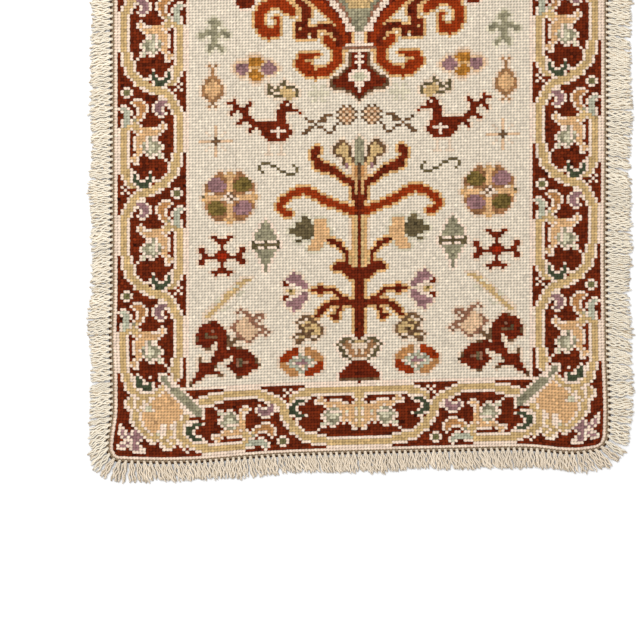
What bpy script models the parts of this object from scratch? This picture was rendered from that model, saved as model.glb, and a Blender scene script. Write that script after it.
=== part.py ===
"""A flat needlepoint rug with a knotted fringe along its four sides, lying on the floor.

The needlework is one flat panel. Each side's fringe is a narrow strip just outside the panel's edge,
with locks of yarn that grow out of it. Z is up, the floor is z = 0 and the near end is at -Y.
"""

import math

import bmesh
import bpy
import numpy as np

# Needlework panel, in metres
HALF_WIDTH = 0.3940
HALF_LENGTH = 0.8625
CORNER_RADIUS = 0.018
PANEL_THICKNESS = 0.0050
PANEL_ROUNDING = 0.0014
CORNER_STEPS = 8

# Unevenness, in metres: the rows of stitches climb towards +X by this share of the way across
ROW_CLIMB = 0.0257
# The near end's two dips: depth, middle across and spread. They grow from SAG_START to the end
SAGS = ((0.0080, -0.289, 0.112), (0.0090, 0.342, 0.052))
SAG_START = 0.60
SAG_REACH = 0.257
SAG_POWER = 1.3
# The long edges' hollows and bulges: how far out, middle along and spread. They fade out inwards
LEFT_WAVES = ((0.0020, -0.669, 0.045),)
RIGHT_WAVES = ((0.0035, -0.805, 0.065), (-0.0013, -0.557, 0.090))
WAVE_START = 0.25
# The near left corner stands out further, from the first distance along to the second
CORNER_SPLAY = 0.0072
SPLAY_SPAN = (0.780, 0.846)

# Fringe, in metres
PANEL_GAP = 0.0004
STRIP_WIDTH = 0.0056
STRIP_HEIGHT = 0.0042
LOCK_HEIGHT = 0.0040
TIP_HEIGHT = 0.0030
LOCK_PITCH = 0.0184
LOCK_GAP = 0.0011
FAN_REACH = 0.045
LOCK_STEPS = 3
CURVE_CUTS = 4

# Fringe length and lean by the way it points, anticlockwise from the left side and round to it again
FACING = np.radians((180.0, 225.0, 270.0, 315.0, 360.0, 450.0, 540.0))
FRINGE_LENGTH = (0.0370, 0.0360, 0.0340, 0.0360, 0.0420, 0.0360, 0.0370)
FRINGE_LEAN = np.radians((8.0, 7.0, 12.0, 12.0, -6.0, 4.0, 8.0))
# Its length and lean also waver along the edge: size, wavelength and start of each wave
LENGTH_WAVES = ((0.0016, 0.0290, 0.0), (0.0012, 0.0173, 1.0))
LEAN_WAVES = ((0.09, 0.0410, 0.0), (0.06, 0.0240, 2.0))
TIP_NARROWING = 0.0008
NARROWING_TURN = 2.4
FAN_SAMPLES = 19

# Moves the whole rug so that its box is centred on the origin
CENTRE_SHIFT = (-0.00196, 0.00223)


def bump(value, middle, spread):
    """A smooth hill, 1 high."""
    return math.exp(-(((value - middle) / spread) ** 2))


def ramp(value, start, end):
    """0 before start, 1 after end, and smooth between."""
    share = min(max((value - start) / (end - start), 0.0), 1.0)
    return share * share * (3 - 2 * share)


def place(x, y):
    """Where a point of an evenly stitched rug lies on this one."""
    sag = sum(depth * bump(x, middle, spread) for depth, middle, spread in SAGS)
    sag *= max((-y - SAG_START) / SAG_REACH, 0.0) ** SAG_POWER
    left = CORNER_SPLAY * ramp(-y, *SPLAY_SPAN)
    left += sum(depth * bump(y, middle, spread) for depth, middle, spread in LEFT_WAVES)
    right = sum(depth * bump(y, middle, spread) for depth, middle, spread in RIGHT_WAVES)
    out = right * ramp(x, WAVE_START, HALF_WIDTH) - left * ramp(-x, WAVE_START, HALF_WIDTH)
    return x + out + CENTRE_SHIFT[0], y + ROW_CLIMB * x - sag + CENTRE_SHIFT[1]


def edge_loop():
    """Points of the panel's edge with the outward angle at each, anticlockwise from the near left."""
    points = []
    angles = []
    corners = ((-1, -1), (1, -1), (1, 1), (-1, 1))
    for number, (side, end) in enumerate(corners):
        for step in range(CORNER_STEPS + 1):
            angle = math.pi + (number + step / CORNER_STEPS) * math.pi / 2
            points.append(
                (
                    side * (HALF_WIDTH - CORNER_RADIUS) + CORNER_RADIUS * math.cos(angle),
                    end * (HALF_LENGTH - CORNER_RADIUS) + CORNER_RADIUS * math.sin(angle),
                )
            )
            angles.append(angle)
    points.append(points[0])
    angles.append(angles[0] + 2 * math.pi)
    points = np.array(points)
    run = np.concatenate(([0.0], np.cumsum(np.linalg.norm(np.diff(points, axis=0), axis=1))))
    return run, points, np.array(angles)


RUN, EDGE_POINTS, EDGE_ANGLES = edge_loop()
LOOP = float(RUN[-1])
CORNER_MIDDLES = [float(RUN[(CORNER_STEPS + 1) * corner + CORNER_STEPS // 2]) for corner in range(4)]
CORNER_MIDDLES.append(LOOP + CORNER_MIDDLES[0])


def edge_angle(run):
    """Outward angle of the edge at a distance along it."""
    turns = math.floor(run / LOOP)
    return float(np.interp(run - turns * LOOP, RUN, EDGE_ANGLES)) + turns * 2 * math.pi


def edge_point(run, outwards):
    """A point at a distance along the edge and at another outside it."""
    at = run % LOOP
    angle = edge_angle(run)
    x, y = place(
        float(np.interp(at, RUN, EDGE_POINTS[:, 0])),
        float(np.interp(at, RUN, EDGE_POINTS[:, 1])),
    )
    return x + outwards * math.cos(angle), y + outwards * math.sin(angle)


def fringe_angle(run):
    """Which way the fringe points: the edge's own angle, spread out like a fan near the corners."""
    offsets = np.linspace(-FAN_REACH, FAN_REACH, FAN_SAMPLES)
    return sum(edge_angle(run + offset) for offset in offsets) / len(offsets)


def fringe_point(run, share):
    """A point that share of the way from the strip to the fringe's end."""
    angle = fringe_angle(run)
    facing = (angle - math.pi) % (2 * math.pi) + math.pi
    length = float(np.interp(facing, FACING, FRINGE_LENGTH)) - STRIP_WIDTH
    length += sum(size * math.sin(run / wave + begin) for size, wave, begin in LENGTH_WAVES)
    lean = float(np.interp(facing, FACING, FRINGE_LEAN))
    lean += sum(size * math.sin(run / wave + begin) for size, wave, begin in LEAN_WAVES)
    x, y = edge_point(run, PANEL_GAP + STRIP_WIDTH)
    angle += lean * (0.5 + 0.5 * share)
    return x + share * length * math.cos(angle), y + share * length * math.sin(angle)


def add_object(name, mesh, color):
    """An object of its own material and with its faces turned outwards."""
    bmesh.ops.recalc_face_normals(mesh, faces=mesh.faces[:])
    data = bpy.data.meshes.new(name)
    mesh.to_mesh(data)
    mesh.free()
    material = bpy.data.materials.new(name)
    material.use_nodes = True
    shader = material.node_tree.nodes["Principled BSDF"]
    shader.inputs["Base Color"].default_value = (*color, 1.0)
    shader.inputs["Roughness"].default_value = 0.9
    data.materials.append(material)
    item = bpy.data.objects.new(name, data)
    bpy.context.scene.collection.objects.link(item)
    return item


def side_locks(side):
    """For each lock of a side, the distances along the edge at which its root is cut, more on a curve."""
    start, end = CORNER_MIDDLES[side : side + 2]
    count = round((end - start) / LOCK_PITCH)
    pitch = (end - start) / count
    locks = []
    for number in range(count):
        first = start + number * pitch + 0.5 * LOCK_GAP
        last = first + pitch - LOCK_GAP
        curved = edge_angle(last) - edge_angle(first) > 0.01
        locks.append(np.linspace(first, last, (CURVE_CUTS if curved else 1) + 1))
    return locks


def make_panel():
    """The needlework: its outline raised to a flat panel, with the upper edge rounded."""
    mesh = bmesh.new()
    outline = []
    for side in range(4):
        for cuts in side_locks(side):
            for run in cuts if len(cuts) > 2 else cuts[:1]:
                outline.append(mesh.verts.new((*edge_point(run, 0.0), 0.0)))
    base = mesh.faces.new(outline)
    raised = bmesh.ops.extrude_face_region(mesh, geom=[base])["geom"]
    tops = [item for item in raised if isinstance(item, bmesh.types.BMVert)]
    bmesh.ops.translate(mesh, verts=tops, vec=(0.0, 0.0, PANEL_THICKNESS))
    rim = [edge for edge in mesh.edges if all(v.co.z > 0.5 * PANEL_THICKNESS for v in edge.verts)]
    bmesh.ops.bevel(
        mesh, geom=rim, offset=PANEL_ROUNDING, segments=2, profile=0.5, affect="EDGES"
    )
    return add_object("needlework", mesh, (0.58, 0.45, 0.30))


def make_fringe(name, side):
    """One side's strip, and a lock that grows out of it in steps from each length of its outer face."""
    mesh = bmesh.new()

    def pair(point, high):
        """One point at the floor and at a height."""
        return [mesh.verts.new((*point, 0.0)), mesh.verts.new((*point, high))]

    def wall(one, two):
        """An upright face between two such pairs."""
        mesh.faces.new((one[0], two[0], two[1], one[1]))

    def slab(inner, outer):
        """The upper and lower faces between two rows of pairs."""
        for level in (0, 1):
            mesh.faces.new([item[level] for item in inner] + [item[level] for item in outer[::-1]])

    before = None
    for number, cuts in enumerate(side_locks(side)):
        inner = [pair(edge_point(run, PANEL_GAP), STRIP_HEIGHT) for run in cuts]
        ends = (cuts[0], cuts[-1])
        outer = [pair(edge_point(run, PANEL_GAP + STRIP_WIDTH), STRIP_HEIGHT) for run in ends]
        for one, two in zip(inner[:-1], inner[1:]):
            wall(one, two)
        slab(inner, outer)
        if before is None:
            wall(inner[0], outer[0])
        else:
            wall(before[0], inner[0])
            wall(before[1], outer[0])
            slab((before[0], inner[0]), (before[1], outer[0]))
        before = (inner[-1], outer[-1])
        narrow = TIP_NARROWING * (1 + math.sin(number * NARROWING_TURN))
        for step in range(1, LOCK_STEPS + 1):
            share = step / LOCK_STEPS
            height = LOCK_HEIGHT + (TIP_HEIGHT - LOCK_HEIGHT) * share
            runs = (ends[0] + narrow * share, ends[1] - narrow * share)
            further = [pair(fringe_point(run, share), height) for run in runs]
            wall(outer[0], further[0])
            wall(outer[1], further[1])
            slab(outer, further)
            outer = further
        wall(outer[0], outer[1])
    wall(*before)
    return add_object(name, mesh, (0.80, 0.72, 0.58))


for item in list(bpy.data.objects):
    bpy.data.objects.remove(item)

make_panel()
for side, side_name in enumerate(("fringe_near", "fringe_right", "fringe_far", "fringe_left")):
    make_fringe(side_name, side)
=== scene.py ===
"""The needlepoint rug with its needlework stitched and its fringe strands laid out, on a pale floor."""

import math

import bpy
import numpy as np
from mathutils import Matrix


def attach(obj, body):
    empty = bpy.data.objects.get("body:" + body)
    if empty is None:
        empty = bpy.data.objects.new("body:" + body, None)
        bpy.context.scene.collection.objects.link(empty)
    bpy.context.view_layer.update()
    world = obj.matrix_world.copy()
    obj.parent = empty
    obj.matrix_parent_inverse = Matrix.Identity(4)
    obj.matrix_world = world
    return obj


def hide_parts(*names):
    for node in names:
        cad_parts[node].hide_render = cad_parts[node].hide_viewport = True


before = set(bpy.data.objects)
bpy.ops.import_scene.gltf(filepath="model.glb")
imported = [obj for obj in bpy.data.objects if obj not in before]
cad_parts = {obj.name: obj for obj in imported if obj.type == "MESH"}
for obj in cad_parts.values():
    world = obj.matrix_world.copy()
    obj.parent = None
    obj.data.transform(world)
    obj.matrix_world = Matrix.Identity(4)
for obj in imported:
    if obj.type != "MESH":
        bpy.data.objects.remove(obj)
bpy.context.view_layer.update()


# The pattern chart: one wool for each stitch, 157 across and 370 along. The near left quarter is
# worked out first, the border from a counted repeat and the rest with strokes, round patches
# and straight-sided ones. Then it is turned over to the other three quarters.
COLUMNS = 157
ROWS = 370
MIDDLE = 78
# Each wool's colour, 0 to 255, and how unevenly it took the dye
WOOLS = {
    ".": (107, 38, 13, 0.13),
    "t": (210, 176, 122, 0.06),
    "w": (247, 221, 198, 0.03),
    "p": (224, 177, 126, 0.06),
    "g": (154, 146, 118, 0.10),
    "c": (214, 205, 174, 0.06),
    "k": (70, 76, 54, 0.08),
    "m": (156, 116, 116, 0.09),
    "o": (192, 136, 84, 0.07),
    "s": (186, 184, 160, 0.07),
    "G": (118, 112, 72, 0.07),
    "f": (235, 220, 198, 0.03),
    "r": (150, 52, 14, 0.08),
    "R": (156, 40, 10, 0.06),
    "n": (109, 36, 13, 0.12),
    "y": (222, 174, 116, 0.06),
    "q": (180, 120, 48, 0.10),
    "l": (118, 98, 50, 0.12),
    "b": (112, 82, 56, 0.10),
    "a": (104, 90, 62, 0.10),
    "d": (168, 122, 82, 0.08),
    "v": (236, 211, 184, 0.04),
    "h": (220, 208, 181, 0.05),
    "e": (160, 112, 74, 0.09),
    "u": (150, 104, 80, 0.08),
    "x": (228, 190, 152, 0.05),
}
KEYS = "".join(WOOLS)
FIELD = KEYS.index("f")
chart = np.full((ROWS, COLUMNS), FIELD)
CELL_X, CELL_J = np.meshgrid(np.arange(COLUMNS) - MIDDLE + 0.5, np.arange(ROWS) - 0.5)

# The side border's repeat, from the outside to the field, upper row first
REPEAT = """
..w...wwtttttww...ww..
.w.w.wttttttww...wGGw.
....wtttttww.....wGGw.
...wtttww.........ww..
...wttwww.....www.....
..wtttmmmw...wooow....
..wttwwmmmw.wooow..ww.
.wtttw.wmmw.woow..wssw
.wttw..wmmw.woow.wssw.
wtttw.wmmw...wow.wss..
wttw...ww....woow.ss..
wttw..........wtgwssw.
wttw...w.......wtwssw.
wttw..wpw.....wttttsw.
wttw..wpwwwppppttwtttw
wttw...wppppppwpw.wttw
wttw....wppppppw..wttw
wttw.....wwgwpppw.wttw
wttw....wggcwcppw.wttw
wttw...wggccwgwpw.wttw
wttw...wcgccwgppw.wttw
wttw....wggcgwpp..wttw
.wttw..wcwwgw.wpw.wttw
.wttw..wc.ww...wppwttw
.wttw.w........wpwwttw
.wtttw.........ww.wttw
.wtttw............wttw
..wttw...........wtttw
..wttw.....w....wwtttw
..wtttw....k...wkwttw.
...wtttw..wkw..wkwttw.
....wtttwwwkkwwkkwtw..
.....wtttt.wkkkkwttw..
.....wtttttwkkkwttw.w.
""".split()[::-1]
# The five last lines before a side's middle
MIDDLE_LINES = """
wttw.....wpwcppw..wttw
wttw....wpppppp...wttw
wttw..wwpppppppw.wwttw
wttw..wppwtwwcptwttttw
wttw...ttttttttttttttw
""".split()
# The corner's fan and blossom, from the outside to the field, upper row first
CORNER = """
.wttw.w......www.wttw.
.wttwwkw..w..wggwwttw.
.wttwwkkw....wggwwtw..
..wttwkkwwkw..wggww...
..wttwkkkkkw.wtwggww..
..wtttwwkkkwwttwwggww.
...wtttwwwwwttwpwwggw.
....wwtttttttwppppwggw
...wtwwtttwwpppppppwgg
..wttwttwtwpppppppppwg
..wttwttwwtppppppppppw
..wwtwtwwccppppppppppp
...wwtwtwccwpppppppppp
....wttwpppppppppppppw
....wttwppppppppppppwt
....wttwppppppppppppwt
....wwttwpppppppppwttt
.w...wttwpppppwwpwwttw
.ww...wttwppppwwpwwttw
.wmw.wmwttwppwwwttwttw
.wmwmwmmwttwtcwwttwttw
..wmwmmmmwttttwttwwttt
...wwwmmw.wwtwttwttwtt
..wwmwmw...ww.wttwtwwt
.wmmwwmmw.....wwttw.wt
.www.wmmww.....www...w
......wwww............
......................
""".split()[::-1]


def put(key, column, row):
    """Changes one stitch."""
    chart[row + 1, column + MIDDLE] = KEYS.index(key)


def dots(key, *cells):
    """Changes several single stitches."""
    for column, row in cells:
        put(key, column, row)


def stroke(key, width, *points):
    """Every stitch whose middle lies within half the width of a line through the points."""
    nearest = np.full(chart.shape, np.inf)
    for (x, j), (x_next, j_next) in zip(points[:-1], points[1:]):
        run = max((x_next - x) ** 2 + (j_next - j) ** 2, 1e-9)
        share = ((CELL_X - x) * (x_next - x) + (CELL_J - j) * (j_next - j)) / run
        share = np.clip(share, 0.0, 1.0)
        away = np.hypot(CELL_X - x - share * (x_next - x), CELL_J - j - share * (j_next - j))
        nearest = np.minimum(nearest, away)
    chart[nearest <= width / 2] = KEYS.index(key)


def strokes(key, width, *lines):
    """Several lines of one key and width."""
    for points in lines:
        stroke(key, width, *points)


def disc(key, x, j, wide, high):
    """Every stitch whose middle lies in an oval of those half widths."""
    inside = ((CELL_X - x) / wide) ** 2 + ((CELL_J - j) / high) ** 2 <= 1
    chart[inside] = KEYS.index(key)


def patch(key, *points):
    """Every stitch whose middle lies inside a straight-sided shape."""
    inside = np.zeros(chart.shape, bool)
    for (x, j), (x_next, j_next) in zip(points, points[1:] + points[:1]):
        if j == j_next:
            continue
        spans = (CELL_J > min(j, j_next)) & (CELL_J <= max(j, j_next))
        inside ^= spans & (CELL_X < x + (CELL_J - j) * (x_next - x) / (j_next - j))
    chart[inside] = KEYS.index(key)


def halo(key):
    """A line of stitches round what was drawn on the field since the last halo."""
    new = (chart != FIELD) & ~finished
    near = np.zeros(chart.shape, bool)
    near[1:] |= new[:-1]
    near[:-1] |= new[1:]
    near[:, 1:] |= new[:, :-1]
    near[:, :-1] |= new[:, 1:]
    chart[near & (chart == FIELD)] = KEYS.index(key)
    finished[:] = chart != FIELD


chart[1:23, 1:-1] = KEYS.index(".")
chart[1:-1, 1:23] = KEYS.index(".")
for cell, (start, stop) in enumerate(((21, 56), (56, 91), (91, 126), (126, 161), (161, 196))):
    for row in range(start, min(stop, 184)):
        line = REPEAT[round((row - start) * (len(REPEAT) - 1) / (stop - start - 1))]
        if row > 178:
            line = MIDDLE_LINES[row - 179][::-1]
        for number, key in enumerate(line if cell % 2 else line[::-1]):
            put(key, number - 77, row)
for column in range(-55, -22):
    line = REPEAT[round((column + 55) * (len(REPEAT) - 1) / 32)]
    for number, key in enumerate(line):
        put(key, column, 21 - number)
for column in range(-22, 1):
    line = REPEAT[column + 22] if column < -4 else MIDDLE_LINES[column + 4]
    for number, key in enumerate(line):
        put(key, column, number)
for row, line in enumerate(CORNER):
    for number, key in enumerate(line):
        put(key, number - 77, row)
BAR = ((-58.5, 22.0), (-55.5, 18.9), (-53.9, 17.0), (-51.8, 15.1), (-51.0, 14.3))
stroke("w", 4.8, *BAR)
stroke("g", 2.7, *BAR)
stroke(".", 1.0, (-53.5, 12.5), (-50.5, 12.5))
stroke("w", 1.0, (-54.5, 11.5), (-52.5, 11.5))
chart[23, 22:79] = KEYS.index("w")
chart[23:185, 23] = KEYS.index("w")
finished = chart != FIELD

# Scrolls in the corner of the field
patch("n", (-52, 38), (-52, 40.8), (-50.8, 42.2), (-49, 44), (-48, 45), (-45, 45), (-44, 43.6), (-42.3, 42),
      (-41.5, 40.5), (-41.3, 37), (-42, 35), (-42, 33.2), (-46.2, 33.8), (-45, 35.2), (-44.9, 38.2),
      (-45.6, 38.4), (-46.4, 37.2), (-47, 36), (-47, 35), (-49, 35), (-49.4, 36), (-51, 37))
patch("n", (-42, 35), (-41.3, 33), (-43, 31.8), (-45, 30.5), (-46, 29), (-45, 28), (-44, 27.6), (-44, 26.6),
      (-47, 26.6), (-49, 27), (-49, 25.6), (-51, 25.2), (-52, 24.2), (-53.2, 23.1), (-54.1, 23.4),
      (-53.8, 25), (-52.4, 26), (-51.7, 27.4), (-50.9, 28.6), (-51.1, 30), (-51.1, 32.7), (-50, 32.7),
      (-49.8, 31.2), (-49, 30.3), (-47.5, 31.4), (-46.5, 32.6), (-46, 34))
patch("n", (-42.5, 33), (-41, 34.8), (-39.5, 36.1), (-37.4, 36.1), (-36.6, 35.1), (-35, 35), (-34, 33.8),
      (-33, 32.6), (-32, 31.4), (-31.9, 29), (-33, 28), (-34, 27), (-35, 26.2), (-36, 25.6), (-38.8, 25.6),
      (-39.8, 27), (-41, 28), (-42.3, 29.6), (-41, 30.4), (-40, 31.2), (-39.2, 32.2), (-40.5, 32.9))
stroke("n", 2.6, (-43.0, 33.2), (-39.6, 34.9))
halo("v")
dots("b", (-52, 38), (-52, 39), (-48, 35), (-49, 35), (-48, 44), (-42, 37), (-42, 38), (-42, 39), (-54, 23),
     (-54, 24), (-51, 32), (-51, 31), (-45, 26), (-44, 26), (-46, 29), (-38, 35), (-39, 35), (-33, 31),
     (-33, 30), (-32, 29), (-38, 25), (-39, 25))
stroke("b", 1.0, (-48.8, 39.5), (-46.0, 39.5))
stroke("a", 1.0, (-48.8, 40.5), (-48.2, 40.5))
put("u", -47, 41)
stroke("a", 1.0, (-37.2, 29.5), (-37.2, 31.6))
strokes("u", 1.0, ((-38.4, 29.6), (-38.4, 31.5)), ((-36.0, 30.5), (-36.0, 31.0)))
stroke("b", 1.0, (-41.8, 36.2), (-40.8, 36.9), (-39.9, 37.7), (-38.7, 38.5))
patch("x", (-39.3, 43), (-39.3, 41), (-37.5, 39), (-36, 38), (-34, 38), (-33, 39.5), (-31.5, 41.5),
      (-32.5, 43), (-34, 43.5), (-34.8, 46), (-36, 47), (-37, 45.5), (-38, 44.5))
strokes("u", 1.0,
        ((-38.6, 47.5), (-37.6, 48.4), (-36.2, 47.7), (-35.0, 46.5), (-34.3, 44.6), (-33.0, 43.5)),
        ((-38.2, 45.0), (-39.3, 43.5), (-40.3, 42.3), (-38.9, 40.6), (-37.7, 39.2), (-36.3, 38.2),
         (-35.0, 37.4), (-33.6, 38.4), (-32.6, 39.6)),
        ((-33.3, 45.0), (-32.0, 46.3), (-30.6, 46.3), (-30.6, 45.3), (-32.4, 43.9)),
        ((-32.2, 42.8), (-30.8, 42.4), (-29.6, 41.4), (-28.4, 40.5)),
        ((-31.0, 40.5), (-29.8, 40.0), (-29.6, 39.2)))
halo("v")
stroke("v", 3.6, (-48.6, 46.0), (-36.4, 58.4))
stroke("t", 1.9, (-48.0, 46.6), (-37.2, 57.5))
stroke("v", 1.2, (-37.5, 59.4), (-34.0, 59.2))
stroke("t", 1.0, (-36.6, 58.4), (-34.8, 58.4))
strokes("h", 1.0, ((-44.0, 52.4), (-46.0, 51.0)), ((-39.0, 56.5), (-40.6, 55.4)),
        ((-41.5, 49.5), (-43.5, 48.2)), ((-37.0, 54.5), (-38.8, 53.0)))
halo("f")

# Forked cross, leaf lozenge and four-part wheel
strokes("n", 1.1, ((-49.0, 66.9), (-38.0, 66.9)), ((-43.5, 62.0), (-43.5, 72.0)))
strokes("n", 1.7, ((-50.0, 69.0), (-48.5, 66.9), (-50.0, 65.0)),
        ((-37.0, 69.0), (-38.6, 66.9), (-37.0, 65.0)), ((-45.8, 73.2), (-43.5, 71.6), (-41.2, 73.2)),
        ((-45.8, 61.1), (-43.5, 62.7), (-41.2, 61.1)))
disc("n", -43.5, 66.9, 2.1, 2.1)
disc("R", -43.5, 66.9, 1.2, 1.2)
halo("v")
patch("g", (-33.3, 72), (-32.5, 74.5), (-31, 77), (-29.5, 79.4), (-28, 77), (-26.5, 74.5), (-25.7, 72))
patch("g", (-33, 69), (-32, 66.5), (-30.5, 63.7), (-29.5, 61.4), (-28.5, 63.7), (-27, 66.5), (-26, 69))
strokes("a", 1.2, ((-33.0, 70.5), (-26.0, 70.5)), ((-33.2, 71.6), (-33.0, 69.2)),
        ((-25.8, 71.6), (-25.8, 69.2)))
stroke("a", 1.0, (-29.5, 71.6), (-29.5, 69.4))
halo("w")
for side in (-1, 1):
    for rise in (-1, 1):
        corners = ((0.9, 1.0), (0.9, 4.0), (1.2, 6.2), (1.9, 8.3), (4.0, 8.3), (5.8, 7.0), (7.1, 5.0),
                   (8.4, 3.2), (8.4, 2.2), (6.0, 1.4), (2.0, 0.9))
        patch("e", *((-41.0 + side * x, 87.2 + rise * j) for x, j in corners))
        disc("l" if side == rise else "m", -41.0 + side * 4.2, 87.2 + rise * 4.0, 2.9, 2.7)
for x, j in ((1, 0), (-1, 0), (0, 1), (0, -1)):
    ends = ((1.5, 0.4), (8.0, 1.5), (8.9, 0.0), (8.0, -1.5), (1.5, -0.4))
    patch("p", *((-41.0 + x * out - j * off, 87.2 + j * out + x * off) for out, off in ends))
    stroke("y", 1.0, (-41.0 + 7.6 * x - 1.4 * j, 87.2 + 7.6 * j + 1.4 * x),
           (-41.0 + 8.8 * x, 87.2 + 8.8 * j), (-41.0 + 7.6 * x + 1.4 * j, 87.2 + 7.6 * j - 1.4 * x))
disc("w", -41.0, 87.5, 1.7, 1.7)
for column, row in ((-42, 87), (-40, 87), (-41, 88), (-41, 86)):
    put("b", column, row)
put("a", -50, 87)
halo("v")

# Squiggle, faint star, spindle, figure and four-lobed flower
dots("a", (-31, 98), (-30, 98), (-29, 98), (-28, 97), (-27, 97), (-32, 97), (-21, 97), (-26, 96), (-32, 96),
     (-20, 96), (-25, 95), (-24, 95), (-31, 95), (-20, 95), (-23, 94), (-22, 94), (-21, 94))
for petal in range(8):
    turn = petal * math.pi / 4
    stroke("v" if petal % 2 else "x", 1.4, (-45.5 + 2.4 * math.cos(turn), 106.5 + 2.4 * math.sin(turn)),
           (-45.5 + 4.9 * math.cos(turn), 106.5 + 4.9 * math.sin(turn)))
strokes("b", 1.0, ((-46.5, 106.5), (-44.5, 106.5)), ((-45.5, 107.6), (-45.5, 105.4)))
halo("f")
patch("d", (-46.5, 130.5), (-48.6, 127.8), (-50.2, 125.4), (-50.2, 123), (-48.6, 121), (-46.5, 119.8),
      (-44.4, 121), (-42.8, 123), (-42.8, 125.4), (-44.4, 127.8))
patch("p", (-46.5, 128.4), (-47.8, 126.6), (-48.9, 125), (-48.9, 123.4), (-47.6, 122), (-46.5, 121.2),
      (-45.4, 122), (-44.1, 123.4), (-44.1, 125), (-45.2, 126.6))
stroke("d", 1.1, (-46.5, 131.4), (-46.5, 129.0))
strokes("d", 1.0, ((-47.9, 132.4), (-47.0, 132.4)), ((-46.0, 132.4), (-45.1, 132.4)),
        ((-47.9, 117.9), (-46.5, 119.2), (-45.1, 117.9)), ((-46.5, 120.5), (-46.5, 119.2)))
halo("v")
stroke("g", 2.4, (-45.7, 148.0), (-45.7, 140.0))
stroke("g", 1.4, (-47.3, 147.2), (-44.3, 147.2))
stroke("g", 2.0, (-49.8, 143.0), (-48.5, 144.0), (-46.0, 143.0), (-43.0, 143.8), (-41.7, 142.6))
stroke("g", 1.7, (-46.2, 140.0), (-47.6, 138.2))
stroke("g", 1.5, (-45.2, 140.0), (-43.6, 138.1))
halo("h")
for x, j, wide in ((-37.0, 131.2, 2.9), (-28.3, 131.2, 2.9), (-32.6, 133.4, 2.9), (-32.6, 129.0, 2.9)):
    disc("x", x, j, wide, 2.8)
disc("m", -36.8, 131.3, 2.2, 2.2)
disc("m", -28.6, 131.2, 2.2, 2.4)
disc("q", -32.6, 133.5, 2.4, 2.0)
disc("q", -32.8, 128.9, 2.4, 1.9)
stroke("y", 1.0, (-34.3, 131.3), (-31.3, 131.3))
halo("v")
patch("t", (-25, 123.6), (-24, 125), (-21, 123.8), (-19.9, 122.5), (-20.2, 120.8), (-21.5, 120),
      (-23.6, 120.8), (-24.6, 122.4))
for points in (
    ((-28.6, 125.3), (-28.6, 123.3), (-27.6, 122.3)), ((-27.4, 124.3), (-26.0, 123.4)),
    ((-25.6, 124.7), (-24.4, 125.3), (-23.6, 126.0)), ((-22.6, 124.4), (-20.4, 124.4)),
    ((-19.5, 123.0), (-19.5, 121.2)), ((-26.9, 121.3), (-24.4, 121.3)),
):
    stroke("a", 1.1, *points)
halo("v")
for turn in np.radians(np.arange(0, 360, 60)):
    stroke("h", 1.4, (-12.5, 122), (-12.5 + 3.2 * np.cos(turn), 122 + 3.2 * np.sin(turn)))
halo("f")

# Bird, with a thorny tail and a little flower on its body
disc("n", -26.0, 109.3, 4.7, 3.8)
stroke("n", 3.0, (-24.3, 111.0), (-24.4, 116.3))
disc("n", -23.0, 117.8, 2.4, 1.8)
stroke("n", 1.1, (-21.0, 117.0), (-19.6, 116.4), (-18.5, 115.4))
stroke("n", 3.0, (-28.5, 109.8), (-31.0, 111.3))
stroke("n", 2.4, (-31.0, 111.3), (-33.4, 112.6))
stroke("n", 1.7, (-33.4, 112.6), (-35.4, 114.6), (-36.6, 116.6), (-38.6, 117.8), (-39.8, 119.8))
stroke("n", 1.5, (-36.2, 116.8), (-34.4, 119.0))
strokes("n", 1.4, ((-39.0, 119.0), (-40.9, 119.4)), ((-38.6, 117.6), (-40.6, 115.6)),
        ((-36.2, 114.8), (-38.0, 112.6)), ((-33.0, 111.6), (-34.8, 109.9)))
stroke("n", 1.3, (-30.5, 112.3), (-29.6, 112.0))
halo("v")
put("w", -23, 118)
strokes("w", 1.1, ((-27.0, 109.3), (-24.0, 109.3)), ((-25.5, 110.6), (-25.5, 108.0)))
strokes("v", 1.2, ((-28.5, 105.5), (-28.5, 102.0)), ((-24.5, 105.0), (-24.5, 102.0)))
strokes("v", 1.0, ((-29.5, 101.5), (-27.5, 101.5)), ((-25.5, 101.5), (-23.5, 101.5)))
dots("b", (-17, 113), (-16, 112), (-15, 112), (-14, 111), (-16, 110), (-15, 110), (-13, 110), (-12, 110),
     (-17, 109), (-16, 109), (-11, 109), (-18, 108), (-17, 108), (-10, 108), (-9, 108), (-8, 109),
     (-8, 110), (-13, 112), (-12, 112), (-11, 112), (-12, 113), (-11, 113), (-11, 114), (-10, 114),
     (-9, 114))
disc("x", -3.5, 114.2, 3.0, 3.0)
dots("e", (-4, 116), (-5, 115), (-3, 115), (-5, 113), (-3, 113), (-4, 112))
for x, j in (
    (-4.5, 117), (-2.5, 117), (-5.5, 116), (-1.5, 116), (-6.5, 115), (-0.5, 115), (-3.5, 114), (-5.5, 114),
    (-6.5, 113), (-0.5, 113), (-5.5, 112), (-1.5, 112), (-6.5, 111), (-4.5, 111), (-2.5, 111), (-1.5, 114),
):
    put("b", round(x - 0.5), j)
halo("f")

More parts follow.
